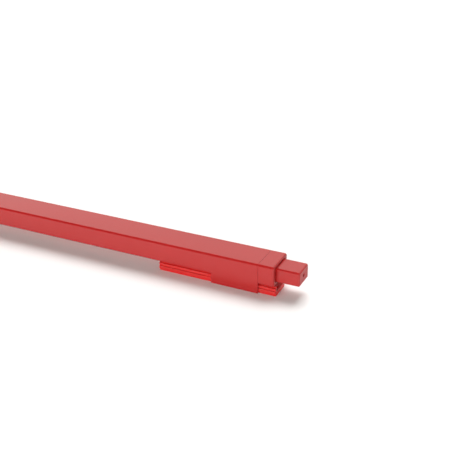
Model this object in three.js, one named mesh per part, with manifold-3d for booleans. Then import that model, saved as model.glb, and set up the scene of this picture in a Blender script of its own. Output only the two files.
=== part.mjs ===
// Retractable ballpoint pen with a clip channel that slides over a notebook's hard cover.
// Millimetres. +X runs along the pen towards the push button, +Y is the clip's open side, +Z is up.
// The origin is the middle of the bottom face of the pen's box.
// Stations along X are measured from the collar's rear face, so they are negative towards the nose.

import * as THREE from 'three';
import { mergeVertices } from 'three/addons/utils/BufferGeometryUtils.js';
import Module from 'manifold-3d';

const wasm = await Module();
wasm.setup();

// ---- driving dimensions ----

const penLength = 140;
const barrelWidth = 10;
const barrelHeight = 6.4;
const clipDepth = 3.1;
const cornerSize = 0.45;
const leastCorner = 0.1;
const chamferFlatness = 0.95;
const seam = 0.1;
const slip = 0.05;

const buttonReach = 7.2;
const buttonWidth = 6.7;
const buttonHeight = 4.5;
const buttonTravel = 5.5;
const dimpleRadius = 0.6;
const dimpleDepth = 0.6;
const buttonChamfer = 0.36;

const collarLength = 4.8;
const collarChamfer = 0.3;
const spigotWidth = 8.9;
const spigotHeight = 5.5;
const flangeEnd = -19.8;
const flangeThickness = 0.35;
const clipRear = 0.5;
const clipFront = -37.3;

const barrelRear = -collarLength - seam;
const taperStart = -106;
const barrelFront = -118;
const frontWidth = 6.8;
const frontHeight = 6;
const frontCorner = 2.85;
const noseTip = buttonReach - penLength;

const refillRadius = 1.5;
const inkRadius = 1;
const ballRadius = 0.5;

// ---- worked out from them ----

const underside = clipDepth;
const axisHeight = clipDepth + barrelHeight / 2;
const frontFace = -barrelWidth / 2;
const backFace = barrelWidth / 2;
const holeWidth = buttonWidth + 0.2;
const holeHeight = buttonHeight + 0.2;
const rebateWidth = spigotWidth + 0.2;
const rebateHeight = spigotHeight + 0.2;

// the rebate at the barrel's rear takes the collar's spigot, and the pocket holds the button's shoulders
const spigotEnd = barrelRear - 1.2;
const rebateEnd = spigotEnd - 0.15;
const shoulderRear = rebateEnd - 0.25;
const shoulderFront = shoulderRear - 1.5;
const pocketEnd = shoulderFront - buttonTravel - 0.5;
const shoulderWidth = 7.8;
const shoulderHeight = 4.6;
const pocketWidth = 8.2;
const pocketHeight = 4.9;
const socketRadius = 1.25;
const socketDepth = 4.5;
const boreRadius = 2.4;

// the click mechanism
const sleeveRear = pocketEnd - 0.4;
const sleeveFront = sleeveRear - 17.5;
const sleeveRadius = boreRadius - 0.1;
const grooveRadius = 1.95;
const ribRadius = 1.6;
const lobeRadius = 1.85;
const lobeWidth = 0.42;
const lobeLength = 3;
const lobeRoot = 1;
const stemRadius = 1.3;
const toothDepth = 0.5;
const stemEnd = sleeveRear - 5.6;
const rotorRear = stemEnd - slip;
const rotorLobeRear = rotorRear - 0.45;
const latchTravel = 3.8;
const ribEnd = rotorLobeRear - latchTravel;
const rotorFront = rotorRear - 6.7;

// the refill, from its plug to the ball
const plugRear = rotorFront - slip;
const plugFlange = 0.5;
const plugPinRadius = 0.7;
const plugPinLength = 1.2;
const tubeRear = plugRear - plugFlange - slip;
const tubeFront = -116;
const holderFlangeRear = tubeFront - slip;
const holderFlangeFront = holderFlangeRear - 0.8;
const holderFront = -128;
const pointRear = holderFront - slip;
const pointFront = -131.3;
const ballCentre = pointFront + 0.2;
const stubLength = 3.2;
const holderFlangeRadius = 1.9;
const followerRear = -44;
const followerFront = -47;
const inkFront = tubeFront + stubLength + slip;

// the nose cone
const coneRear = barrelFront - seam;
const coneRadius = 2.85;
const tipRadius = 1.5;
const shankRadius = 2.45;
const shankRear = coneRear + 6;
const shankBoreRear = shankRear + 0.6;
const chamberRadius = 2;
const chamberFront = -126.3;
const tipHoleRadius = 1.25;

// ---- materials ----

function material(color, roughness, metalness = 0) {
  return new THREE.MeshStandardMaterial({ color, roughness, metalness });
}

const materials = {
  redPlastic: material(0xc4282a, 0.45),
  steel: material(0xc2c5c9, 0.3, 1),
  springSteel: material(0xa8abb0, 0.35, 1),
  brass: material(0xb9975a, 0.3, 1),
  carbide: material(0x6e7076, 0.15, 1),
  whitePlastic: material(0xe6e4dc, 0.5),
  blackPlastic: material(0x24252a, 0.5),
  clearPlastic: material(0xe3e6e6, 0.35),
  ink: material(0x101a4a, 0.25),
  grease: material(0xc9a04a, 0.3),
};

// ---- shapes ----

const profileToX = new THREE.Matrix4().makeBasis(
  new THREE.Vector3(0, 1, 0),
  new THREE.Vector3(0, 0, 1),
  new THREE.Vector3(1, 0, 0),
);

// a rectangle in (y, z) about (0, middle)
function rectangle(width, height, middle = 0) {
  const shape = new THREE.Shape();
  shape.moveTo(-width / 2, middle - height / 2);
  shape.lineTo(width / 2, middle - height / 2);
  shape.lineTo(width / 2, middle + height / 2);
  shape.lineTo(-width / 2, middle + height / 2);
  shape.closePath();
  return shape;
}

// a closed outline through points given as [y, z]
function outline(points) {
  return new THREE.Shape(points.map(([y, z]) => new THREE.Vector2(y, z)));
}

// the points of a rectangle in (y, z) about (0, axisHeight) with its corners cut by size;
// flatness moves each corner from a round, at 0, to a chamfer, at 1
function corneredSection(width, height, size, flatness = chamferFlatness) {
  const steps = 5;
  const points = [];
  for (let corner = 0; corner < 4; corner++) {
    const signY = corner === 0 || corner === 3 ? 1 : -1;
    const signZ = corner < 2 ? 1 : -1;
    const start = (corner * Math.PI) / 2;
    const [startY, startZ] = [Math.cos(start), Math.sin(start)];
    for (let step = 0; step <= steps; step++) {
      const share = step / steps;
      const angle = start + (share * Math.PI) / 2;
      const flatY = THREE.MathUtils.lerp(startY, -startZ, share);
      const flatZ = THREE.MathUtils.lerp(startZ, startY, share);
      const y = THREE.MathUtils.lerp(Math.cos(angle), flatY, flatness);
      const z = THREE.MathUtils.lerp(Math.sin(angle), flatZ, flatness);
      points.push([
        signY * (width / 2 - size) + size * y,
        axisHeight + signZ * (height / 2 - size) + size * z,
      ]);
    }
  }
  return points;
}

// a chamfered bar that ends in a smaller face at its rear
function chamferedBar(rear, front, width, height, corner, endChamfer) {
  const section = corneredSection(width, height, corner);
  const endWidth = width - 2 * endChamfer;
  const endHeight = height - 2 * endChamfer;
  const endCorner = Math.max(corner - endChamfer, leastCorner);
  return loft([
    [rear, corneredSection(endWidth, endHeight, endCorner)],
    [rear - endChamfer, section],
    [front, section],
  ]);
}

// an extrusion of a (y, z) shape from one station to another
function bar(shape, from, to) {
  const geometry = new THREE.ExtrudeGeometry(shape, { depth: to - from, bevelEnabled: false });
  geometry.applyMatrix4(profileToX);
  geometry.translate(from, 0, 0);
  return geometry;
}

// a box given by its corners
function block([x0, y0, z0], [x1, y1, z1]) {
  const geometry = new THREE.BoxGeometry(x1 - x0, y1 - y0, z1 - z0);
  geometry.translate((x0 + x1) / 2, (y0 + y1) / 2, (z0 + z1) / 2);
  return geometry;
}

// a shape turned about the pen's axis, from points given as [station, radius] along its outline,
// which ends on the axis or closes on itself
function turned(points, segments = 24) {
  const closed = points[0][1] === 0 ? points : [...points, points[0]];
  const profile = closed.map(([x, radius]) => new THREE.Vector2(radius, x));
  if (THREE.ShapeUtils.area(profile) < 0) {
    profile.reverse();
  }
  const geometry = new THREE.LatheGeometry(profile, segments);
  geometry.rotateZ(-Math.PI / 2);
  geometry.translate(0, 0, axisHeight);
  return geometry;
}

// a plain rod on the pen's axis
function rod(from, to, radius, segments = 24) {
  return turned([[from, 0], [from, radius], [to, radius], [to, 0]], segments);
}

// a plain tube on the pen's axis
function tube(from, to, outer, inner, segments = 24) {
  return turned([[from, inner], [from, outer], [to, outer], [to, inner]], segments);
}

// a skin over a row of sections, each [station, points], with flat ends
function loft(sections) {
  const count = sections[0][1].length;
  const corners = sections.flatMap(([x, points]) => points.map(([y, z]) => [x, y, z]));
  const last = (sections.length - 1) * count;
  const faces = [];
  for (let row = 0; row < last; row += count) {
    for (let i = 0; i < count; i++) {
      const next = (i + 1) % count;
      faces.push(row + i, row + count + next, row + next);
      faces.push(row + i, row + count + i, row + count + next);
    }
  }
  for (let i = 1; i < count - 1; i++) {
    faces.push(0, i, i + 1);
    faces.push(last, last + i + 1, last + i);
  }
  const geometry = new THREE.BufferGeometry();
  geometry.setAttribute('position', new THREE.Float32BufferAttribute(corners.flat(), 3));
  geometry.setIndex(faces);
  return geometry;
}

// ---- solid cuts and joins ----

function toSolid(source) {
  const geometry = source.clone();
  geometry.deleteAttribute('normal');
  geometry.deleteAttribute('uv');
  const merged = mergeVertices(geometry, 1e-4);
  return new wasm.Manifold(
    new wasm.Mesh({
      numProp: 3,
      vertProperties: new Float32Array(merged.attributes.position.array),
      triVerts: new Uint32Array(merged.index.array),
    }),
  );
}

function toGeometry(solid) {
  const mesh = solid.getMesh();
  const geometry = new THREE.BufferGeometry();
  geometry.setAttribute('position', new THREE.BufferAttribute(mesh.vertProperties, 3));
  geometry.setIndex(new THREE.BufferAttribute(mesh.triVerts, 1));
  geometry.computeVertexNormals();
  return geometry;
}

// joins the added shapes to the first one, cuts the removed shapes from it and keeps what is within the rest
function shaped(first, { add = [], remove = [], within = [] }) {
  let solid = toSolid(first);
  for (const geometry of add) {
    solid = solid.add(toSolid(geometry));
  }
  for (const geometry of within) {
    solid = solid.intersect(toSolid(geometry));
  }
  for (const geometry of remove) {
    solid = solid.subtract(toSolid(geometry));
  }
  return toGeometry(solid);
}

// copies of a box that stands out from the axis along +Z, turned evenly about the axis
function around(count, firstAngle, makeBox) {
  return Array.from({ length: count }, (_, i) => {
    const geometry = makeBox();
    geometry.rotateX(firstAngle + (i * 2 * Math.PI) / count);
    geometry.translate(0, 0, axisHeight);
    return geometry;
  });
}

function spoke(from, to, inner, outer, width) {
  return block([Math.min(from, to), -width / 2, inner], [Math.max(from, to), width / 2, outer]);
}

// V-shaped notches that leave eight cam teeth on a face at one station
function toothNotches(station) {
  const side = toothDepth * Math.SQRT2;
  return around(8, Math.PI / 8, () => {
    const notch = new THREE.BoxGeometry(side, side, 2 * boreRadius);
    notch.rotateZ(Math.PI / 4);
    notch.translate(station, 0, boreRadius);
    return notch;
  });
}

// ---- the body ----

// the barrel's outline: a rectangular bar whose sides draw in and whose corners round off at the front
function barrelSkin() {
  const sections = [[barrelRear, corneredSection(barrelWidth, barrelHeight, cornerSize)]];
  const steps = 8;
  for (let i = 0; i <= steps; i++) {
    const along = i / steps;
    const width = THREE.MathUtils.lerp(barrelWidth, frontWidth, along ** 2);
    const height = THREE.MathUtils.lerp(barrelHeight, frontHeight, along ** 2);
    const corner = THREE.MathUtils.lerp(cornerSize, frontCorner, along ** 1.5);
    const flatness = chamferFlatness * (1 - along) ** 2;
    const station = THREE.MathUtils.lerp(taperStart, barrelFront, along);
    sections.push([station, corneredSection(width, height, corner, flatness)]);
  }
  return loft(sections);
}

const pegStations = [-16.5, -25.5, -34.5];
const pegHalfLength = 0.8;
const pegFront = -4;
const pegBack = -3.45;
const pegTop = underside + 1.1;

function pegBlock(station, extra) {
  return block(
    [station - pegHalfLength - extra, pegFront - extra, underside - 0.5],
    [station + pegHalfLength + extra, pegBack + extra, pegTop + extra],
  );
}

function barrel() {
  const innerFlange = frontFace + flangeThickness;
  const footChamfer = 0.25;
  const flange = bar(
    outline([
      [frontFace, footChamfer],
      [frontFace + footChamfer, 0],
      [innerFlange, 0],
      [innerFlange, underside + 1],
      [frontFace, underside + 1],
    ]),
    flangeEnd,
    barrelRear,
  );
  return shaped(barrelSkin(), {
    add: [flange],
    remove: [
      rod(barrelFront - 1, pocketEnd + 0.5, boreRadius),
      rod(barrelFront - 1, shankBoreRear, shankRadius + slip),
      bar(rectangle(pocketWidth, pocketHeight, axisHeight), pocketEnd, rebateEnd + 0.01),
      bar(rectangle(rebateWidth, rebateHeight, axisHeight), rebateEnd, barrelRear + 1),
      ...pegStations.map((station) => pegBlock(station, slip)),
    ],
  });
}

function rearCollar() {
  const ring = chamferedBar(0, -collarLength, barrelWidth, barrelHeight, cornerSize, collarChamfer);
  return shaped(ring, {
    add: [bar(rectangle(spigotWidth, spigotHeight, axisHeight), spigotEnd, -collarLength + 0.5)],
    remove: [bar(rectangle(holeWidth, holeHeight, axisHeight), spigotEnd - 1, 1)],
  });
}

// ---- the clip ----

const wallBack = -3.6;
const wallCore = -4;
const wallGroove = -4.35;
const wallCrest = frontFace + flangeThickness + slip;
const wallTop = underside - slip;
const wallBottom = 1.62;
const ribTop = 2.52;
const ribBottom = 2.14;
const ribSlope = 0.07;
const tongueEdge = backFace - 0.4;
const tongueTop = 1.4;
const lipTop = 1.55;
const tongueCorner = 3;
const lipBottom = 0.68;
const footTop = 0.18;
const lipFace = wallCrest + 0.1;
const undercut = wallCrest + 0.35;

function clipWall() {
  const ribs = bar(
    outline([
      [wallBack, wallTop],
      [wallCore, wallTop],
      [wallCore, ribTop + ribSlope],
      [wallCrest, ribTop],
      [wallCrest, ribBottom],
      [wallGroove, ribBottom - ribSlope],
      [wallGroove, wallBottom],
      [wallBack, wallBottom],
    ]),
    clipFront,
    clipRear,
  );
  return shaped(ribs, { add: pegStations.map((station) => pegBlock(station, 0)) });
}

// the tongue seen from above: its two free corners are round
function tonguePlan() {
  const plan = new THREE.Shape();
  plan.moveTo(clipFront, frontFace);
  plan.lineTo(clipRear, frontFace);
  plan.lineTo(clipRear, tongueEdge - tongueCorner);
  plan.absarc(clipRear - tongueCorner, tongueEdge - tongueCorner, tongueCorner, 0, Math.PI / 2);
  plan.absarc(clipFront + tongueCorner, tongueEdge - tongueCorner, tongueCorner, Math.PI / 2, Math.PI);
  plan.closePath();
  const depth = lipTop + 2 * seam;
  const geometry = new THREE.ExtrudeGeometry(plan, { depth, bevelEnabled: false, curveSegments: 8 });
  geometry.translate(0, 0, -seam);
  return geometry;
}

function clipTongue() {
  const plate = bar(
    outline([
      [lipFace, 0],
      [tongueEdge - 0.3, 0],
      [tongueEdge, 0.4],
      [tongueEdge, 0.8],
      [tongueEdge - 0.8, tongueTop],
      [wallBack + 0.3, tongueTop],
      [wallBack, lipTop],
      [lipFace, lipTop],
      [wallCrest, lipTop - 0.12],
      [wallCrest, lipBottom],
      [undercut, lipBottom - 0.08],
      [undercut, footTop],
      [lipFace, footTop - 0.04],
    ]),
    clipFront,
    clipRear,
  );
  return shaped(plate, { within: [tonguePlan()] });
}

// ---- the button and the click mechanism ----

function pushButton() {
  const shank = chamferedBar(
    buttonReach,
    shoulderFront,
    buttonWidth,
    buttonHeight,
    buttonChamfer,
    buttonChamfer,
  );
  return shaped(shank, {
    add: [bar(rectangle(shoulderWidth, shoulderHeight, axisHeight), shoulderFront, shoulderRear)],
    remove: [
      rod(buttonReach - dimpleDepth, buttonReach + 1, dimpleRadius),
      rod(shoulderFront - 1, shoulderFront + socketDepth, socketRadius),
    ],
  });
}

function thrustCam() {
  const discRear = shoulderFront - slip;
  const discFront = discRear - 0.5;
  const discRadius = 1.9;
  const plugEnd = discRear + 4.2;
  const plugRadius = socketRadius - 0.1;
  const stem = turned([
    [plugEnd, 0],
    [plugEnd, plugRadius],
    [discRear, plugRadius],
    [discRear, discRadius],
    [discFront, discRadius],
    [discFront, stemRadius],
    [stemEnd, stemRadius],
    [stemEnd, 0],
  ]);
  return shaped(stem, {
    add: around(4, 0, () => spoke(stemEnd + lobeLength, stemEnd, lobeRoot, lobeRadius, lobeWidth)),
    remove: toothNotches(stemEnd),
  });
}

function camSleeve() {
  const ribRoot = grooveRadius + 0.15;
  return shaped(tube(sleeveFront, sleeveRear, sleeveRadius, grooveRadius), {
    add: around(4, Math.PI / 4, () => spoke(ribEnd, sleeveRear, ribRadius, ribRoot, lobeWidth)),
  });
}

function camRotor() {
  const headRear = rotorFront + 1.2;
  const headRadius = 1.75;
  const cupRear = rotorFront + 1.5;
  const cupRadius = plugPinRadius + 0.1;
  const body = turned([
    [rotorRear, 0],
    [rotorRear, stemRadius],
    [headRear, stemRadius],
    [headRear, headRadius],
    [rotorFront, headRadius],
    [rotorFront, cupRadius],
    [cupRear, cupRadius],
    [cupRear, 0],
  ]);
  const lobeFront = rotorLobeRear - lobeLength;
  return shaped(body, {
    add: around(4, 0, () => spoke(lobeFront, rotorLobeRear, lobeRoot, lobeRadius, lobeWidth)),
    remove: toothNotches(rotorRear),
  });
}

// ---- the refill ----

function refillEndPlug() {
  const pinEnd = plugRear + plugPinLength;
  const flangeFront = plugRear - plugFlange;
  const stubFront = flangeFront - stubLength;
  return turned([
    [pinEnd, 0],
    [pinEnd, plugPinRadius],
    [plugRear, plugPinRadius],
    [plugRear, refillRadius],
    [flangeFront, refillRadius],
    [flangeFront, inkRadius],
    [stubFront, inkRadius],
    [stubFront, 0],
  ]);
}

function refillTipHolder() {
  const stubRear = tubeFront + stubLength;
  const inkDuct = 0.4;
  const coneStart = holderFlangeFront - 2;
  const coneEnd = holderFlangeFront - 3.8;
  const coneEndRadius = 1.2;
  const frontRadius = 1.15;
  const socketRear = holderFront + 2.5;
  const pointSocket = 0.7;
  return turned([
    [stubRear, inkDuct],
    [stubRear, inkRadius],
    [holderFlangeRear, inkRadius],
    [holderFlangeRear, holderFlangeRadius],
    [holderFlangeFront, holderFlangeRadius],
    [holderFlangeFront, refillRadius],
    [coneStart, refillRadius],
    [coneEnd, coneEndRadius],
    [holderFront, frontRadius],
    [holderFront, pointSocket],
    [socketRear, pointSocket],
    [socketRear, inkDuct],
  ]);
}

function refillPoint() {
  const tailRear = pointRear + 2.4;
  const tailRadius = 0.65;
  const shoulderFace = pointRear - 0.4;
  const shoulderRadius = 1.1;
  const inkDuct = 0.2;
  const rimRadius = 0.62;
  const seatRadius = ballRadius + 0.04;
  const seatRear = ballCentre + 0.6;
  return turned([
    [tailRear, inkDuct],
    [tailRear, tailRadius],
    [pointRear, tailRadius],
    [pointRear, shoulderRadius],
    [shoulderFace, shoulderRadius],
    [pointFront, rimRadius],
    [pointFront, seatRadius],
    [seatRear, seatRadius],
    [seatRear, inkDuct],
  ]);
}

function writingBall() {
  const ball = new THREE.SphereGeometry(ballRadius, 16, 10);
  ball.translate(ballCentre, 0, axisHeight);
  return ball;
}

// ---- the nose ----

function noseCone() {
  const steps = 10;
  const outside = [];
  for (let i = 0; i <= steps; i++) {
    const along = i / steps;
    const station = THREE.MathUtils.lerp(coneRear, noseTip, along);
    outside.push([station, THREE.MathUtils.lerp(coneRadius, tipRadius, along ** 1.6)]);
  }
  return turned(
    [
      [shankRear, chamberRadius],
      [shankRear, shankRadius],
      [coneRear, shankRadius],
      ...outside,
      [noseTip, tipHoleRadius],
      [chamberFront, tipHoleRadius],
      [chamberFront, chamberRadius],
    ],
    32,
  );
}

// a helix of wire between two stations on the axis
class Helix extends THREE.Curve {
  constructor(from, to, radius, turns) {
    super();
    Object.assign(this, { from, to, radius, turns });
  }

  getPoint(t) {
    const angle = t * this.turns * 2 * Math.PI;
    return new THREE.Vector3(
      THREE.MathUtils.lerp(this.from, this.to, t),
      this.radius * Math.cos(angle),
      this.radius * Math.sin(angle),
    );
  }
}

function returnSpring() {
  const wireRadius = 0.17;
  const coilRadius = 1.75;
  const turns = 8;
  const clearance = wireRadius + slip;
  const path = new Helix(chamberFront + clearance, holderFlangeFront - clearance, coilRadius, turns);
  const wire = new THREE.Shape();
  wire.absarc(0, 0, wireRadius, 0, 2 * Math.PI);
  const geometry = new THREE.ExtrudeGeometry(wire, {
    steps: turns * 12,
    curveSegments: 4,
    extrudePath: path,
  });
  geometry.translate(0, 0, axisHeight);
  return geometry;
}

// ---- assembly ----

const pen = new THREE.Group();
pen.position.x = penLength / 2 - buttonReach;

function piece(name, geometry, look) {
  const mesh = new THREE.Mesh(geometry, materials[look]);
  mesh.name = name;
  pen.add(mesh);
}

piece('barrel', barrel(), 'redPlastic');
piece('rear_collar', rearCollar(), 'redPlastic');
piece('push_button', pushButton(), 'redPlastic');
piece('clip_wall', clipWall(), 'redPlastic');
piece('clip_tongue', clipTongue(), 'redPlastic');
piece('thrust_cam', thrustCam(), 'whitePlastic');
piece('cam_sleeve', camSleeve(), 'whitePlastic');
piece('cam_rotor', camRotor(), 'blackPlastic');
piece('refill_end_plug', refillEndPlug(), 'whitePlastic');
piece('refill_tube', tube(tubeFront, tubeRear, refillRadius, inkRadius + slip), 'clearPlastic');
piece('grease_follower', rod(followerFront, followerRear, inkRadius), 'grease');
piece('ink_column', rod(inkFront, followerFront - slip, inkRadius), 'ink');
piece('refill_tip_holder', refillTipHolder(), 'brass');
piece('refill_point', refillPoint(), 'steel');
piece('writing_ball', writingBall(), 'carbide');
piece('return_spring', returnSpring(), 'springSteel');
piece('nose_cone', noseCone(), 'steel');

export default pen;
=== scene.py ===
# Looks of a retractable ballpoint pen with a clip channel: fine meshes, materials, camera and studio.
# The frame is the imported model's, in metres: +X towards the button, +Y the clip's open side, +Z up.
# Shapes are written in millimetres, with stations along the pen measured from the collar's rear face.

import math

import bmesh
import bpy
from mathutils import Matrix, Vector


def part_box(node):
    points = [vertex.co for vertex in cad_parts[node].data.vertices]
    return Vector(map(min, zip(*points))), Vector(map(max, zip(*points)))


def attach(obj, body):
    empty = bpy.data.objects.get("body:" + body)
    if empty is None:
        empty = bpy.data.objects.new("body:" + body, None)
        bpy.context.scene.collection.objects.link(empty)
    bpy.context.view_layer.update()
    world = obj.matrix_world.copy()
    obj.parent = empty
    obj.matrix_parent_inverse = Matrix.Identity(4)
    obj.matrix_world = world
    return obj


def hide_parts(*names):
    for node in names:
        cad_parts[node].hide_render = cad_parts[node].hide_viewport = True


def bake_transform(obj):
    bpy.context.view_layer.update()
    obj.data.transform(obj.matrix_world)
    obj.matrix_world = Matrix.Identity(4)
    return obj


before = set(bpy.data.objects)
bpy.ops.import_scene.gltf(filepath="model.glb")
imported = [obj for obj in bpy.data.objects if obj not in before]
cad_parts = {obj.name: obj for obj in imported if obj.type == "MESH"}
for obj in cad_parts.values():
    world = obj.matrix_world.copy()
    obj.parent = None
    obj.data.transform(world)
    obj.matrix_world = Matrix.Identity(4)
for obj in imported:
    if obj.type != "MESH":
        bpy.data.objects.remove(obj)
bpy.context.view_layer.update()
scene = bpy.context.scene

MM = 0.001
JOIN_DISTANCE = 2e-7
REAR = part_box("rear_collar")[1].x

# ---- sizes from the frame, in millimetres ----


def span(node):
    """A CAD node's lowest and highest corners, with x measured from the rear face."""
    low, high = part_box(node)
    start = Vector((REAR, 0, 0))
    return (low - start) / MM, (high - start) / MM


collar_low, collar_high = span("rear_collar")
barrel_low, barrel_high = span("barrel")
button_low, button_high = span("push_button")
wall_low, wall_high = span("clip_wall")
tongue_low, tongue_high = span("clip_tongue")
cone_low, cone_high = span("nose_cone")
spring_low, spring_high = span("return_spring")
holder_low, holder_high = span("refill_tip_holder")
point_low, point_high = span("refill_point")

AXIS_Z = (collar_low.z + collar_high.z) / 2
WIDTH = barrel_high.y - barrel_low.y
HEIGHT = collar_high.z - collar_low.z
UNDERSIDE = collar_low.z
FRONT = barrel_low.y

# ---- shape dimensions, in millimetres ----

# A corner's size, and how flat it is, from a round at 0 to a chamfer at 1
CORNER_RADIUS = 0.45
CHAMFERED = 0.95
SEAM_RADIUS = 0.04
SEAM = 0.06
COLLAR_LENGTH = 4.8
COLLAR_CHAMFER = 0.3
FLANGE_END = -19.8
FLANGE_THICKNESS = 0.35
TAPER_START = -106
FRONT_WIDTH = 6.8
FRONT_HEIGHT = 6.0
FRONT_RADIUS = 2.85

BUTTON_WIDTH = 6.7
BUTTON_HEIGHT = 4.5
BUTTON_CHAMFER = 0.36
BUTTON_CLEARANCE = 0.2
HOLE_WIDTH = BUTTON_WIDTH + BUTTON_CLEARANCE
HOLE_HEIGHT = BUTTON_HEIGHT + BUTTON_CLEARANCE
SPIGOT_WIDTH = 8.9
SPIGOT_HEIGHT = 5.5
SPIGOT_CLEARANCE = 0.2
REBATE_WIDTH = SPIGOT_WIDTH + SPIGOT_CLEARANCE
REBATE_HEIGHT = SPIGOT_HEIGHT + SPIGOT_CLEARANCE
REBATE_GAP = 0.15
REBATE_END = collar_low.x - REBATE_GAP
SHOULDER_GAP = 0.25
SHOULDER_REAR = REBATE_END - SHOULDER_GAP
SHOULDER_WIDTH = 7.8
SHOULDER_HEIGHT = 4.6
POCKET_WIDTH = 8.2
POCKET_HEIGHT = 4.9
BUTTON_TRAVEL = 5.5
POCKET_GAP = 0.5
POCKET_END = button_low.x - BUTTON_TRAVEL - POCKET_GAP
INNER_CORNER = 0.2
BORE_RADIUS = 2.4
SOCKET_RADIUS = 1.25
SOCKET_DEPTH = 4.5
DIMPLE_RADIUS = 0.55
DIMPLE_DEPTH = 0.55

SHANK_RADIUS = 2.45
SHANK_SLIP = 0.05
SHANK_BORE_RADIUS = SHANK_RADIUS + SHANK_SLIP
SHANK_BORE_GAP = 0.6
SHANK_BORE_REAR = cone_high.x + SHANK_BORE_GAP

PEG_STATIONS = (-16.5, -25.5, -34.5)
PEG_HALF_LENGTH = 0.8
PEG_FRONT = -4.0
PEG_BACK = -3.45
PEG_ROOT = 0.5
PEG_DEPTH = 1.1
PEG_SLIP = 0.05
WALL_BACK = -3.6
WALL_CORE = -4.0
WALL_GROOVE = -4.35
TONGUE_CORNER = 3.0
TONGUE_PLATE = 1.4

LEAST_CORNER = 0.01
CORNER_STEPS = 8
RING_POINTS = 4 * (CORNER_STEPS + 1)

# ---- sections across the pen, as (y, z) points ----


def eased(share, flatness):
    """A point on a corner of unit size, as (across, up), from a round to a chamfer."""
    across, up = math.cos(share * math.pi / 2), math.sin(share * math.pi / 2)
    return across + flatness * (1 - up**2 - across), up + flatness * (up**2 - up)


def rounded(width, height, radius, flatness=0.0):
    """A rounded rectangle about the pen's axis, with the same number of points as a circle.
    flatness moves each corner from a round, at 0, to a flat chamfer, at 1."""
    radius = max(radius, LEAST_CORNER)
    points = []
    for corner in range(4):
        sign_y = 1 if corner in (0, 3) else -1
        sign_z = 1 if corner < 2 else -1
        for step in range(CORNER_STEPS + 1):
            across, up = eased(step / CORNER_STEPS, flatness)
            turn = corner * math.pi / 2
            y = across * math.cos(turn) - up * math.sin(turn)
            z = across * math.sin(turn) + up * math.cos(turn)
            y = sign_y * (width / 2 - radius) + radius * y
            z = sign_z * (height / 2 - radius) + radius * z
            points.append((y, AXIS_Z + z))
    return points


def circle(radius, count=RING_POINTS):
    """A circle about the pen's axis."""
    angles = [(i + 0.5) * 2 * math.pi / count for i in range(count)]
    return [(radius * math.cos(a), AXIS_Z + radius * math.sin(a)) for a in angles]


def rounded_end(end, inward, radius, section, steps=5, flatness=0.0):
    """Rings that round the edge between a bar's sides and its end face, from the sides to the face.
    section(inset) gives the outline drawn in by that much, and inward is the way into the bar."""
    rings = []
    for step in range(steps + 1):
        across, up = eased(step / steps, flatness)
        rings.append((end + inward * radius * (1 - up), section(radius * (1 - across))))
    return rings


def inset_rounded(width, height, radius, flatness=CHAMFERED):
    """The section function of a rounded rectangle, for rounded_end."""
    return lambda inset: rounded(
        width - 2 * inset, height - 2 * inset, radius - inset, flatness
    )


# ---- meshes ----


def in_frame(station, point):
    """A point in the frame, in metres, from its station and (y, z)."""
    return Vector((REAR + station * MM, point[0] * MM, point[1] * MM))


def new_object(name, bm, smooth_angle=30):
    """A Blender object from a bmesh, with coincident points joined and normals facing out."""
    bmesh.ops.remove_doubles(bm, verts=bm.verts, dist=JOIN_DISTANCE)
    bmesh.ops.recalc_face_normals(bm, faces=bm.faces)
    mesh = bpy.data.meshes.new(name)
    bm.to_mesh(mesh)
    bm.free()
    for polygon in mesh.polygons:
        polygon.use_smooth = True
    mesh.set_sharp_from_angle(angle=math.radians(smooth_angle))
    obj = bpy.data.objects.new(name, mesh)
    scene.collection.objects.link(obj)
    return obj


def bridge(bm, first, second):
    """Four-sided faces between two rings of points."""
    count = len(first)
    for i in range(count):
        j = (i + 1) % count
        bm.faces.new((first[i], first[j], second[j], second[i]))


def close_end(bm, ring):
    """A fan of faces that closes a ring."""
    centre = bm.verts.new(sum((v.co for v in ring), Vector()) / len(ring))
    for i in range(len(ring)):
        bm.faces.new((ring[i], ring[(i + 1) % len(ring)], centre))


def skin(rings, looped=False):
    """A bmesh over rings given as (station, points). A looped one joins its last ring to its first."""
    bm = bmesh.new()
    loops = [[bm.verts.new(in_frame(station, p)) for p in points] for station, points in rings]
    for first, second in zip(loops, loops[1:]):
        bridge(bm, first, second)
    if looped:
        bridge(bm, loops[-1], loops[0])
    else:
        close_end(bm, loops[0])
        close_end(bm, loops[-1])
    return bm


def turned(name, profile, segments, smooth_angle=30):
    """A hollow shape turned about the pen's axis, from a closed outline of (station, radius) points."""
    rings = [(station, circle(radius, segments)) for station, radius in profile]
    return new_object(name, skin(rings, looped=True), smooth_angle)


def arc(centre, radius, start, end, steps=5):
    """Points on an arc, as (a, b) pairs, with angles in degrees."""
    points = []
    for step in range(steps + 1):
        angle = math.radians(start + (end - start) * step / steps)
        points.append((centre[0] + radius * math.cos(angle), centre[1] + radius * math.sin(angle)))
    return points


def drawn_in(points, inset):
    """A closed anticlockwise outline moved inwards by a small inset, but not far at sharp corners."""
    least_half = 0.4
    moved = []
    for i, here in enumerate(points):
        before, after = Vector(points[i - 1]), Vector(points[(i + 1) % len(points)])
        here = Vector(here)
        one, two = (here - before).normalized(), (after - here).normalized()
        normal = Vector((-one.y - two.y, one.x + two.x))
        length = max(normal.length, 1e-6)
        half = max(least_half, length / 2)
        moved.append(tuple(here + normal / length * inset / half))
    return moved


def extruded(profile, start, end, edge):
    """A bmesh of an anticlockwise (y, z) outline drawn along the pen, with its end edges rounded."""

    def section(inset):
        return drawn_in(profile, inset)

    rings = list(reversed(rounded_end(start, 1, edge, section, 3)))
    rings += rounded_end(end, -1, edge, section, 3)
    return skin(rings)


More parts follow.
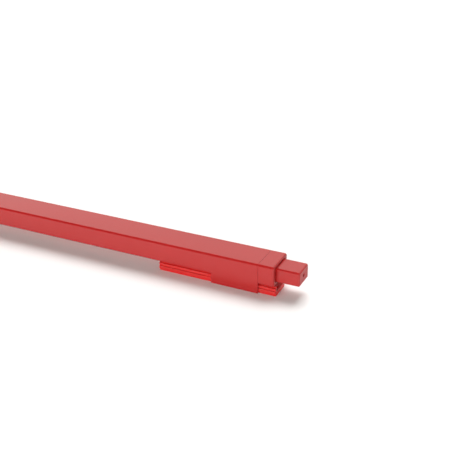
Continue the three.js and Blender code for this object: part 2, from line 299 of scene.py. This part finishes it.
def combine(obj, block, operation):
    """Joins a block, given as its two corners in millimetres, to an object or cuts it away."""
    low, high = block
    bm = bmesh.new()
    bmesh.ops.create_cube(bm, size=1)
    for vert in bm.verts:
        sides = [high[k] if vert.co[k] > 0 else low[k] for k in range(3)]
        vert.co = in_frame(sides[0], sides[1:])
    tool = new_object("tool", bm)
    modifier = obj.modifiers.new("combine", "BOOLEAN")
    modifier.operation = operation
    modifier.solver = "EXACT"
    modifier.object = tool
    graph = bpy.context.evaluated_depsgraph_get()
    mesh = bpy.data.meshes.new_from_object(obj.evaluated_get(graph))
    obj.modifiers.clear()
    obj.data = mesh
    bpy.data.objects.remove(tool)


def peg(station, extra):
    """The block of one peg that holds the clip's wall to the barrel, or with extra of its hole."""
    low = (station - PEG_HALF_LENGTH - extra, PEG_FRONT - extra, UNDERSIDE - PEG_ROOT)
    high = (station + PEG_HALF_LENGTH + extra, PEG_BACK + extra, UNDERSIDE + PEG_DEPTH + extra)
    return low, high


# ---- materials ----

# Features per metre of the noise behind each surface, and the depth of relief in metres
SHADE_SCALE = 90
GLOSS_SCALE = 420
GRAIN_SCALE = 2500
TOOL_RING_SCALE = 9000
PATCH_SCALE = 260
STREAK_SCALE = 700
DRAW_LINE_SCALE = 6000
GRAIN_DEPTH = 1e-6
TOOL_RING_DEPTH = 4e-7
DRAW_LINE_DEPTH = 2e-6

# What is added to the roughness of plastic, and of metal, between the noise's low and high
PLASTIC_GLOSS = (-0.012, 0.016)
METAL_GLOSS = (-0.03, 0.05)
# The part of a noise's range that most of it stays in
NOISE_RANGE = (0.3, 0.7)
# How squarely a surface faces an end before its roughness starts to change, and when it has changed
END_FACING = (0.8, 0.97)
MOULDED_IOR = 1.52
TUBE_IOR = 1.49


def principled(name, color, roughness, metallic=0.0):
    """A new material with its nodes, links and main shader."""
    made = bpy.data.materials.new(name)
    made.use_nodes = True
    shader = made.node_tree.nodes["Principled BSDF"]
    shader.inputs["Base Color"].default_value = (*color, 1)
    shader.inputs["Roughness"].default_value = roughness
    shader.inputs["Metallic"].default_value = metallic
    return made, made.node_tree.nodes, made.node_tree.links, shader


def noise(nodes, links, scale, detail=2.0, stretch=(1, 1, 1)):
    """The value of a noise in the object's own space. scale is in features per metre."""
    coordinates = nodes.new("ShaderNodeTexCoord")
    mapping = nodes.new("ShaderNodeMapping")
    mapping.inputs["Scale"].default_value = stretch
    texture = nodes.new("ShaderNodeTexNoise")
    texture.inputs["Scale"].default_value = scale
    texture.inputs["Detail"].default_value = detail
    links.new(coordinates.outputs["Object"], mapping.inputs["Vector"])
    links.new(mapping.outputs["Vector"], texture.inputs["Vector"])
    return texture.outputs["Fac"]


def between(nodes, links, factor, low, high):
    """A value that follows a noise, from low to high."""
    spread = nodes.new("ShaderNodeMapRange")
    spread.inputs["From Min"].default_value = NOISE_RANGE[0]
    spread.inputs["From Max"].default_value = NOISE_RANGE[1]
    spread.inputs["To Min"].default_value = low
    spread.inputs["To Max"].default_value = high
    links.new(factor, spread.inputs["Value"])
    return spread.outputs["Result"]


def tint(nodes, links, factor, low, high):
    """A colour that follows factor, from low to high."""
    mix = nodes.new("ShaderNodeMix")
    mix.data_type = "RGBA"
    mix.inputs["A"].default_value = (*low, 1)
    mix.inputs["B"].default_value = (*high, 1)
    links.new(factor, mix.inputs["Factor"])
    return mix.outputs["Result"]


def bump(nodes, links, shader, height, depth):
    """Small relief that follows height, of that depth in metres."""
    relief = nodes.new("ShaderNodeBump")
    relief.inputs["Distance"].default_value = depth
    relief.inputs["Strength"].default_value = 1.0
    links.new(height, relief.inputs["Height"])
    links.new(relief.outputs["Normal"], shader.inputs["Normal"])


def facing_ends(nodes, links, along, across):
    """One value on surfaces that run along the pen, and another on those that face its ends."""
    coordinates = nodes.new("ShaderNodeTexCoord")
    split = nodes.new("ShaderNodeSeparateXYZ")
    size = nodes.new("ShaderNodeMath")
    size.operation = "ABSOLUTE"
    turn = nodes.new("ShaderNodeMapRange")
    turn.inputs["From Min"].default_value = END_FACING[0]
    turn.inputs["From Max"].default_value = END_FACING[1]
    turn.inputs["To Min"].default_value = along
    turn.inputs["To Max"].default_value = across
    links.new(coordinates.outputs["Normal"], split.inputs["Vector"])
    links.new(split.outputs["X"], size.inputs[0])
    links.new(size.outputs["Value"], turn.inputs["Value"])
    return turn.outputs["Result"]


def moulded(name, color, roughness, end_roughness, shade=0.06):
    """Moulded plastic: a fine spark-eroded grain, with slow changes of shade and gloss."""
    made, nodes, links, shader = principled(name, color, roughness)
    slow = noise(nodes, links, SHADE_SCALE, stretch=(0.35, 1, 1))
    low = [c * (1 - shade) for c in color]
    high = [min(1, c * (1 + shade)) for c in color]
    links.new(tint(nodes, links, slow, low, high), shader.inputs["Base Color"])
    gloss = between(nodes, links, noise(nodes, links, GLOSS_SCALE, detail=4.0), *PLASTIC_GLOSS)
    add = nodes.new("ShaderNodeMath")
    add.operation = "ADD"
    links.new(gloss, add.inputs[0])
    links.new(facing_ends(nodes, links, roughness, end_roughness), add.inputs[1])
    links.new(add.outputs["Value"], shader.inputs["Roughness"])
    shader.inputs["IOR"].default_value = MOULDED_IOR
    bump(nodes, links, shader, noise(nodes, links, GRAIN_SCALE), GRAIN_DEPTH)
    return made


def turned_metal(name, color, roughness):
    """Turned metal: fine rings left by the tool round the axis, under a thin plating."""
    made, nodes, links, shader = principled(name, color, roughness, 1.0)
    rings = noise(nodes, links, TOOL_RING_SCALE, stretch=(1, 0.01, 0.01))
    low, high = (roughness + change for change in METAL_GLOSS)
    links.new(between(nodes, links, rings, low, high), shader.inputs["Roughness"])
    patches = noise(nodes, links, PATCH_SCALE, detail=3.0)
    dull = [c * 0.93 for c in color]
    links.new(tint(nodes, links, patches, dull, color), shader.inputs["Base Color"])
    bump(nodes, links, shader, rings, TOOL_RING_DEPTH)
    return made


def wet(name, color, roughness):
    """Ink or grease, with slow streaks along the tube."""
    made, nodes, links, shader = principled(name, color, roughness)
    streaks = noise(nodes, links, STREAK_SCALE, detail=3.0, stretch=(0.1, 1, 1))
    dark = [c * 0.7 for c in color]
    links.new(tint(nodes, links, streaks, dark, color), shader.inputs["Base Color"])
    return made


def clear_tube():
    """Translucent extruded tube with faint draw lines along it."""
    made, nodes, links, shader = principled("clear_plastic", (0.93, 0.95, 0.95), 0.25)
    shader.inputs["Transmission Weight"].default_value = 0.85
    shader.inputs["IOR"].default_value = TUBE_IOR
    lines = noise(nodes, links, DRAW_LINE_SCALE, stretch=(0.02, 1, 1))
    bump(nodes, links, shader, lines, DRAW_LINE_DEPTH)
    return made


# The clip's red is the barrel's red painted lighter, a painted highlight that stands for the brighter
# light its ribs catch. Faces across the pen are duller than those along it.
RED = (0.42, 0.013, 0.013)
CLIP_RED_PAINTED_LIGHT = (0.62, 0.02, 0.019)
SATIN = 0.22
ERODED = 0.5

LOOKS = {
    "red_plastic": moulded("red_plastic", RED, SATIN, ERODED),
    # The clip's look is the red plastic with painted light: a lighter red for its brighter ribs.
    "clip_plastic_painted_light": moulded("clip_plastic_painted_light", CLIP_RED_PAINTED_LIGHT, SATIN, ERODED),
    "white_plastic": moulded("white_plastic", (0.78, 0.77, 0.73), 0.42, 0.48, shade=0.03),
    "black_plastic": moulded("black_plastic", (0.02, 0.021, 0.024), 0.4, 0.48),
    "steel": turned_metal("steel", (0.62, 0.63, 0.65), 0.24),
    "spring_steel": turned_metal("spring_steel", (0.42, 0.43, 0.45), 0.3),
    "brass": turned_metal("brass", (0.72, 0.52, 0.24), 0.26),
    "carbide": turned_metal("carbide", (0.3, 0.3, 0.32), 0.1),
    "ink": wet("ink", (0.006, 0.012, 0.09), 0.12),
    "grease": wet("grease", (0.62, 0.4, 0.12), 0.15),
    "clear_plastic": clear_tube(),
}


def dress(obj, slot, look=None):
    """Gives an object one of the looks, which is the slot's own unless another is named."""
    obj.data.materials.clear()
    obj.data.materials.append(LOOKS[look or slot])


def flat_faces_first(obj):
    """Keeps large flat faces flat in shading, so that only the rounded edges turn the light."""
    weighted = obj.modifiers.new("weighted_normals", "WEIGHTED_NORMAL")
    weighted.keep_sharp = True
    weighted.weight = 100


def place(obj, node, body, slot, look=None):
    """Puts a finished piece on its body in place of a CAD node."""
    flat_faces_first(obj)
    dress(obj, slot, look)
    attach(obj, body)
    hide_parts(node)


# ---- barrel ----


def flanged(inset, depth=0.0):
    """The barrel's section where its front wall runs down over the clip.
    inset draws in the whole outline, and depth draws in the flange alone."""
    roll, back_roll, toe = 0.12, 0.08, 0.1
    points = rounded(WIDTH - 2 * inset, HEIGHT - 2 * inset, CORNER_RADIUS - inset, CHAMFERED)
    outer = FRONT + inset
    inner = outer + FLANGE_THICKNESS - 2 * inset
    top = UNDERSIDE + CORNER_RADIUS
    bottom = inset + depth
    face = outer + depth
    first = 2 * (CORNER_STEPS + 1)
    points[first + 1 : first + CORNER_STEPS] = [
        (face, top - roll),
        (face, bottom + roll),
        (face + roll / 4, bottom + roll / 3),
        (face + toe, bottom),
        (inner - depth - back_roll, bottom),
        (inner - depth, bottom + back_roll),
        (inner - depth, UNDERSIDE - toe),
    ]
    points[first + CORNER_STEPS] = (inner, UNDERSIDE + inset)
    return points


def barrel_taper(along):
    """The sizes of the barrel's tapering section. along is 0 where the taper starts and 1 in front."""
    width = WIDTH + (FRONT_WIDTH - WIDTH) * along**2
    height = HEIGHT + (FRONT_HEIGHT - HEIGHT) * along**2
    radius = CORNER_RADIUS + (FRONT_RADIUS - CORNER_RADIUS) * along**1.5
    return width, height, radius, CHAMFERED * (1 - along) ** 2


def make_barrel():
    """The long moulding: its end face and front wall, its bar, its taper, and then its bore."""
    rear, front = -COLLAR_LENGTH - SEAM, barrel_low.x
    edge, lip, chamfer = 0.12, 0.25, 0.1
    rings = list(reversed(rounded_end(rear, -1, SEAM_RADIUS, flanged)))
    for step in range(4):
        angle = step / 3 * math.pi / 2
        station = FLANGE_END + edge * (1 - math.sin(angle))
        rings.append((station, flanged(0, edge * (1 - math.cos(angle)))))
    rings.append((FLANGE_END, rounded(WIDTH, HEIGHT, CORNER_RADIUS, CHAMFERED)))
    steps = 24
    for step in range(steps + 1):
        along = step / steps
        station = TAPER_START + (front + lip - TAPER_START) * along
        rings.append((station, rounded(*barrel_taper(along * (1 - lip / (TAPER_START - front))))))
    rings += rounded_end(front, 1, lip, inset_rounded(*barrel_taper(1)))[1:]
    inside = [
        (front, SHANK_BORE_RADIUS + chamfer),
        (front + chamfer, SHANK_BORE_RADIUS),
        (SHANK_BORE_REAR, SHANK_BORE_RADIUS),
        (SHANK_BORE_REAR, BORE_RADIUS),
        (POCKET_END, BORE_RADIUS),
    ]
    rings += [(station, circle(r)) for station, r in inside]
    rings += [
        (POCKET_END, rounded(POCKET_WIDTH, POCKET_HEIGHT, INNER_CORNER)),
        (REBATE_END, rounded(POCKET_WIDTH, POCKET_HEIGHT, INNER_CORNER)),
        (REBATE_END, rounded(REBATE_WIDTH, REBATE_HEIGHT, INNER_CORNER)),
        (rear, rounded(REBATE_WIDTH, REBATE_HEIGHT, INNER_CORNER)),
        (rear, inset_rounded(WIDTH, HEIGHT, CORNER_RADIUS)(SEAM_RADIUS)),
    ]
    obj = new_object("barrel_moulding", skin(rings, looped=True))
    for station in PEG_STATIONS:
        combine(obj, peg(station, PEG_SLIP), "DIFFERENCE")
    place(obj, "barrel", "body", "red_plastic")


# ---- collar ----


def make_collar():
    """The end ring, with its spigot and the button's hole."""
    outer = inset_rounded(WIDTH, HEIGHT, CORNER_RADIUS)
    spigot = rounded(SPIGOT_WIDTH, SPIGOT_HEIGHT, INNER_CORNER)
    hole = rounded(HOLE_WIDTH, HOLE_HEIGHT, INNER_CORNER)
    mouth, lead = 0.12, 0.15
    rings = list(reversed(rounded_end(collar_high.x, -1, COLLAR_CHAMFER, outer, flatness=CHAMFERED)))
    rings += rounded_end(-COLLAR_LENGTH, 1, SEAM_RADIUS, outer)
    rings += [
        (-COLLAR_LENGTH, spigot),
        (collar_low.x + lead, spigot),
        (collar_low.x, rounded(SPIGOT_WIDTH - 2 * lead, SPIGOT_HEIGHT - 2 * lead, lead)),
        (collar_low.x, hole),
        (-mouth, hole),
        (-mouth / 3, rounded(HOLE_WIDTH + mouth, HOLE_HEIGHT + mouth, 0.25)),
        (0, rounded(HOLE_WIDTH + 2 * mouth, HOLE_HEIGHT + 2 * mouth, 0.3)),
    ]
    obj = new_object("collar_moulding", skin(rings, looped=True))
    place(obj, "rear_collar", "body", "red_plastic")


# ---- button ----


def make_button():
    """The button, from the thrust cam's socket over its shoulders to the dimple in its dished end."""
    front, end = button_low.x, button_high.x
    sides = inset_rounded(BUTTON_WIDTH, BUTTON_HEIGHT, BUTTON_CHAMFER)
    dish, lead = 0.06, 0.15
    rings = [
        (front + SOCKET_DEPTH, circle(0.4)),
        (front + SOCKET_DEPTH, circle(SOCKET_RADIUS - 0.1)),
        (front + SOCKET_DEPTH - 0.1, circle(SOCKET_RADIUS)),
        (front, circle(SOCKET_RADIUS)),
        (front, rounded(SHOULDER_WIDTH - 2 * lead, SHOULDER_HEIGHT - 2 * lead, 0.1)),
        (front + lead, rounded(SHOULDER_WIDTH, SHOULDER_HEIGHT, lead)),
        (SHOULDER_REAR, rounded(SHOULDER_WIDTH, SHOULDER_HEIGHT, lead)),
        (SHOULDER_REAR, sides(0)),
    ]
    rings += rounded_end(end, -1, BUTTON_CHAMFER, sides, flatness=CHAMFERED)
    steps = 8
    rim = DIMPLE_RADIUS + 0.08
    rim_corner = 0.95 * rim
    for step in range(1, steps + 1):
        share = step / steps
        width = (BUTTON_WIDTH - 2 * BUTTON_CHAMFER) * (1 - share) + 2 * rim * share
        height = (BUTTON_HEIGHT - 2 * BUTTON_CHAMFER) * (1 - share) + 2 * rim * share
        radius = LEAST_CORNER * (1 - share) + rim_corner * share
        rings.append((end - dish * math.sin(share * math.pi / 2), rounded(width, height, radius)))
    lip, floor = end - dish, end - dish - DIMPLE_DEPTH
    rings += [
        (lip - 0.03, circle(DIMPLE_RADIUS + 0.02)),
        (lip - 0.1, circle(DIMPLE_RADIUS)),
        (floor + 0.15, circle(DIMPLE_RADIUS)),
        (floor + 0.04, circle(DIMPLE_RADIUS - 0.1)),
        (floor, circle(DIMPLE_RADIUS - 0.25)),
    ]
    obj = new_object("button_moulding", skin(rings))
    place(obj, "push_button", "button", "red_plastic")


# ---- clip ----


def make_clip_wall():
    """The channel's wall, with one rounded rib along it and three pegs on top."""
    crest, top, bottom = wall_low.y, UNDERSIDE - PEG_SLIP, wall_low.z
    rib_top, rib_bottom, roll, edge = 2.54, 2.12, 0.1, 0.05
    profile = [(WALL_BACK, bottom), (WALL_BACK, top), (WALL_CORE, top), (WALL_CORE, rib_top + 0.08)]
    profile += arc((crest + roll, rib_top - roll), roll, 90, 180)
    profile += arc((crest + roll, rib_bottom + roll), roll, 180, 270)
    profile += [(WALL_GROOVE, rib_bottom - 0.04), (WALL_GROOVE, bottom)]
    obj = new_object("clip_wall_moulding", extruded(profile, wall_low.x, wall_high.x, edge))
    for station in PEG_STATIONS:
        combine(obj, peg(station, 0), "UNION")
    # The wall wears the lighter red, painted light for its brighter rib.
    place(obj, "clip_wall", "body", "red_plastic", "clip_plastic_painted_light")


def tongue_section(free_edge, inset=0.0):
    """The tongue's section: a rolled front edge over an undercut, and a plate with a lead-in."""
    crest, lip_top, plate_top = tongue_low.y, tongue_high.z, TONGUE_PLATE
    groove, foot = crest + 0.35, crest + 0.3
    lip_root, lip_back, lip_bottom, roll = -3.15, -3.65, 0.66, 0.14
    lower, upper = 0.35, 0.3
    points = [(foot, 0), (free_edge - lower, 0)]
    points += arc((free_edge - lower, lower), lower, -90, 0)
    points += arc((free_edge - upper, 0.85), upper, 0, 55, 3)
    points += [(free_edge - 0.95, plate_top - 0.06), (free_edge - 1.15, plate_top)]
    points += [(lip_root, plate_top), (lip_back + 0.15, lip_top - 0.03), (lip_back, lip_top)]
    points += arc((crest + roll, lip_top - roll), roll, 90, 180)
    points += arc((crest + roll, lip_bottom + roll), roll, 180, 262)
    points += [(groove, lip_bottom - 0.06), (groove, 0.2), (foot, 0.15)]
    return drawn_in(points, inset) if inset else points


def make_clip_tongue():
    """The plate under the channel, whose two free corners are round."""
    start, end, edge, corner = tongue_low.x, tongue_high.x, tongue_high.y, TONGUE_CORNER
    inset, step_in = 0.05, 0.02
    rings = [(start, tongue_section(edge - corner, inset))]
    steps = 14
    for step in range(steps + 1):
        angle = step / steps * math.pi / 2
        free_edge = edge - corner * (1 - math.sin(angle))
        station = start + step_in + corner * (1 - math.cos(angle))
        rings.append((station, tongue_section(free_edge)))
    for step in range(steps + 1):
        angle = (1 - step / steps) * math.pi / 2
        free_edge = edge - corner * (1 - math.sin(angle))
        station = end - step_in - corner * (1 - math.cos(angle))
        rings.append((station, tongue_section(free_edge)))
    rings.append((end, tongue_section(edge - corner, inset)))
    obj = new_object("clip_tongue_moulding", skin(rings))
    # The tongue wears the lighter red, painted light for its brighter front edge.
    place(obj, "clip_tongue", "tongue", "red_plastic", "clip_plastic_painted_light")


# ---- nose ----


def make_nose_cone():
    """The metal nose: a shank in the barrel, a curved cone, and the spring's chamber inside."""
    rear, tip, shank_rear = barrel_low.x - 0.1, cone_low.x, cone_high.x
    radius, tip_radius, shank = 2.85, 1.5, SHANK_RADIUS
    chamber, chamber_front, hole = 2.0, tip + 6.5, 1.25
    edge, lip, relief, bevel = 0.15, 0.3, 0.5, 0.12
    outside = []
    steps = 40
    for step in range(steps + 1):
        along = step / steps
        station = rear - edge + (tip + lip - rear + edge) * along
        share = (station - rear) / (tip - rear)
        outside.append((station, radius + (tip_radius - radius) * share**1.6))
    last = outside[-1][1]
    for step in range(1, 5):
        angle = step / 4 * math.pi / 2
        outside.append((tip + lip * (1 - math.sin(angle)), last - lip * (1 - math.cos(angle)) / 2))
    profile = [
        (shank_rear, chamber),
        (shank_rear, shank - edge),
        (shank_rear - edge, shank),
        (rear + relief, shank),
        (rear + relief - 0.05, shank - edge),
        (rear, shank - edge),
        (rear, radius - bevel),
        (rear - bevel / 3, radius - bevel / 3),
        *outside,
        (tip, hole + 0.1),
        (tip + 0.1, hole),
        (chamber_front, hole),
        (chamber_front, chamber),
    ]
    obj = turned("cone_turning", profile, 96, smooth_angle=35)
    place(obj, "nose_cone", "nose", "steel")


# ---- the refill's front ----


def make_tip_holder():
    """The brass adapter between the refill's tube and its point."""
    rear, front = holder_high.x, holder_low.x
    stub, flange, body, neck = 1.0, 1.9, 1.5, 1.15
    duct, socket, edge = 0.4, 0.7, 0.08
    flange_rear, flange_front = front + 11.95, front + 11.15
    profile = [
        (rear, duct),
        (rear, stub - edge),
        (rear - edge, stub),
        (flange_rear, stub),
        (flange_rear, flange - edge),
        (flange_rear - edge, flange),
        (flange_front + edge, flange),
        (flange_front, flange - edge),
        (flange_front, body),
        (flange_front - 2, body),
        (flange_front - 3.8, neck + 0.05),
        (front + edge, neck),
        (front, neck - edge),
        (front, socket),
        (front + 2.5, socket),
        (front + 2.5, duct),
    ]
    obj = turned("tip_holder_turning", profile, 72)
    place(obj, "refill_tip_holder", "refill", "brass")


def make_point():
    """The steel point: a tail in the holder, a shoulder, a cone and a rim rolled round the ball."""
    rear, front = point_high.x, point_low.x
    duct, tail, shoulder, seat, edge = 0.2, 0.65, 1.1, 0.54, 0.05
    shoulder_rear, cone_rear, rim_rear = rear - 2.4, rear - 2.8, front + 0.45
    profile = [
        (rear, duct),
        (rear, tail - edge),
        (rear - edge, tail),
        (shoulder_rear, tail),
        (shoulder_rear, shoulder - edge),
        (shoulder_rear - edge, shoulder),
        (cone_rear, shoulder),
        (rim_rear, 0.68),
        (front + 0.12, 0.63),
        (front + 0.03, 0.59),
        (front, seat + 0.01),
        (front + 0.02, seat),
        (front + 0.8, seat),
        (front + 0.8, duct),
    ]
    obj = turned("point_turning", profile, 72)
    place(obj, "refill_point", "refill", "steel")


# ---- spring ----


def make_spring():
    """A coil with a closed turn at each end. Its front rides on the body, its rear on the refill."""
    wire = 0.17
    mean = spring_high.y - wire
    start, end = spring_low.x + wire, spring_high.x - wire
    turns, dead, per_turn, sides = 9.5, 1.0, 40, 12
    # A closed turn's pitch, a hair over the wire's thickness
    closed = 2.04 * wire
    bm = bmesh.new()
    rings = []
    count = int(turns * per_turn)
    for i in range(count + 1):
        turn = i / per_turn
        free = min(max(turn - dead, 0), turns - 2 * dead) / (turns - 2 * dead)
        head = min(turn, dead) * closed
        tail = max(turn - (turns - dead), 0) * closed
        station = start + head + free * (end - start - 2 * dead * closed) + tail
        angle = 2 * math.pi * turn
        centre = in_frame(station, (mean * math.cos(angle), AXIS_Z + mean * math.sin(angle)))
        outward = Vector((0, math.cos(angle), math.sin(angle)))
        ring = []
        for side in range(sides):
            a = 2 * math.pi * side / sides
            offset = outward * math.cos(a) + Vector((1, 0, 0)) * math.sin(a)
            ring.append(bm.verts.new(centre + offset * wire * MM))
        rings.append(ring)
    for first, second in zip(rings, rings[1:]):
        bridge(bm, first, second)
    close_end(bm, rings[0])
    close_end(bm, rings[-1])
    obj = new_object("spring_coil", bm)
    dress(obj, "spring_steel")
    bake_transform(obj)
    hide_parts("return_spring")


# ---- carried-over CAD pieces ----

CARRIED = {
    "thrust_cam": "white_plastic",
    "cam_sleeve": "white_plastic",
    "cam_rotor": "black_plastic",
    "refill_end_plug": "white_plastic",
    "refill_tube": "clear_plastic",
    "grease_follower": "grease",
    "ink_column": "ink",
    "writing_ball": "carbide",
}


def finer(obj):
    """Narrow bevels on a moulded CAD solid's edges."""
    bevel = obj.modifiers.new("edges", "BEVEL")
    bevel.width = 0.03 * MM
    bevel.segments = 2
    bevel.limit_method = "ANGLE"
    bevel.angle_limit = math.radians(40)


def dress_carried():
    """Materials for the pieces that keep their CAD shapes."""
    for node, slot in CARRIED.items():
        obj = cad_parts[node]
        if slot in ("white_plastic", "black_plastic"):
            finer(obj)
        if node == "writing_ball":
            rounder = obj.modifiers.new("rounder", "SUBSURF")
            rounder.levels = 2
            rounder.render_levels = 2
        dress(obj, slot)


# ---- camera ----

# Where the camera looks and how far off it stands, in metres, and its lens and sensor in millimetres
AIM = Vector((0.04298, 0.01002, 0.0095))
AZIMUTH = math.radians(25.686)
ELEVATION = math.radians(27.212)
ROLL = math.radians(-0.651)
DISTANCE = 0.26076
LENS = 66.97
SENSOR_WIDTH = 36


def make_camera():
    """A camera that looks at AIM from a distance, turned by its azimuth, elevation and roll."""
    level = math.cos(ELEVATION)
    back = Vector((math.sin(AZIMUTH) * level, -math.cos(AZIMUTH) * level, math.sin(ELEVATION)))
    turn = back.to_track_quat("Z", "Y").to_matrix() @ Matrix.Rotation(ROLL, 3, "Z")
    data = bpy.data.cameras.new("camera")
    data.lens = LENS
    data.sensor_width = SENSOR_WIDTH
    data.clip_start = 0.005
    camera = bpy.data.objects.new("camera", data)
    camera.matrix_world = Matrix.Translation(AIM + back * DISTANCE) @ turn.to_4x4()
    scene.collection.objects.link(camera)
    scene.camera = camera


# ---- studio ----

FLOOR_SIZE = 6
FLOOR_DROP = 0.00002
# The surround's strength overhead and at the horizon
SURROUND = 0.03
HORIZON = 1.0
# The heights at which the horizon's band starts to fade and has faded
HORIZON_FADE = (math.radians(8), math.radians(30))
# Each soft glow of the surround: its direction, the angles of its core and edge, and its strength.
GLOWS = (
    ((-0.386, 0.80, 0.457), 32, 60, 1.0),
    ((-0.1, -1.0, 0.0), 28, 52, 2.75),
    ((1.0, -0.1, 0.1), 20, 45, 0.1),
)
KEY_DIRECTION = (-0.1, 0.48, 0.88)
KEY_STRENGTH = 2.35
KEY_ANGLE = math.radians(35)
SURROUND_TINT = (1, 0.975, 0.93, 1)


def make_floor():
    """A plain pale floor, a hair below the pen."""
    bm = bmesh.new()
    bmesh.ops.create_grid(bm, x_segments=1, y_segments=1, size=FLOOR_SIZE)
    floor = new_object("floor", bm)
    floor.location.z = -FLOOR_DROP
    floor.data.materials.append(principled("floor_paper", (0.9, 0.9, 0.9), 0.7)[0])


def make_key():
    """One broad soft light, from above and a little behind."""
    data = bpy.data.lights.new("key", "SUN")
    data.energy = KEY_STRENGTH
    data.angle = KEY_ANGLE
    key = bpy.data.objects.new("key", data)
    key.rotation_euler = Vector(KEY_DIRECTION).to_track_quat("Z", "Y").to_euler()
    scene.collection.objects.link(key)


def glow(nodes, links, coordinates, direction, core, edge, strength):
    """A round soft glow in the surround, full within core and gone beyond edge, in degrees."""
    towards = nodes.new("ShaderNodeVectorMath")
    towards.operation = "DOT_PRODUCT"
    towards.inputs[1].default_value = Vector(direction).normalized()
    fall = nodes.new("ShaderNodeMapRange")
    fall.interpolation_type = "SMOOTHSTEP"
    fall.inputs["From Min"].default_value = math.cos(math.radians(edge))
    fall.inputs["From Max"].default_value = math.cos(math.radians(core))
    fall.inputs["To Min"].default_value = 0
    fall.inputs["To Max"].default_value = strength
    links.new(coordinates.outputs["Generated"], towards.inputs[0])
    links.new(towards.outputs["Value"], fall.inputs["Value"])
    return fall.outputs["Result"]


def horizon(nodes, links, coordinates):
    """A pale band all round above the floor, which fades into the dim surround."""
    split = nodes.new("ShaderNodeSeparateXYZ")
    fall = nodes.new("ShaderNodeMapRange")
    fall.interpolation_type = "SMOOTHSTEP"
    fall.inputs["From Min"].default_value = math.sin(HORIZON_FADE[0])
    fall.inputs["From Max"].default_value = math.sin(HORIZON_FADE[1])
    fall.inputs["To Min"].default_value = HORIZON
    fall.inputs["To Max"].default_value = SURROUND
    links.new(coordinates.outputs["Generated"], split.inputs["Vector"])
    links.new(split.outputs["Z"], fall.inputs["Value"])
    return fall.outputs["Result"]


def make_world():
    """A surround that is pale at the horizon and dim overhead, with the soft glows added."""
    world = bpy.data.worlds.new("studio")
    world.use_nodes = True
    nodes, links = world.node_tree.nodes, world.node_tree.links
    coordinates = nodes.new("ShaderNodeTexCoord")
    total = horizon(nodes, links, coordinates)
    for direction, core, edge, strength in GLOWS:
        add = nodes.new("ShaderNodeMath")
        add.operation = "ADD"
        links.new(total, add.inputs[0])
        links.new(glow(nodes, links, coordinates, direction, core, edge, strength), add.inputs[1])
        total = add.outputs["Value"]
    nodes["Background"].inputs["Color"].default_value = SURROUND_TINT
    links.new(total, nodes["Background"].inputs["Strength"])
    scene.world = world


def make_studio():
    """The floor, the surround and the light, and a plain display of their colours."""
    make_floor()
    make_world()
    make_key()
    scene.view_settings.view_transform = "Standard"


make_camera()
make_studio()
make_barrel()
make_collar()
make_button()
make_clip_wall()
make_clip_tongue()
make_nose_cone()
make_tip_holder()
make_point()
make_spring()
dress_carried()
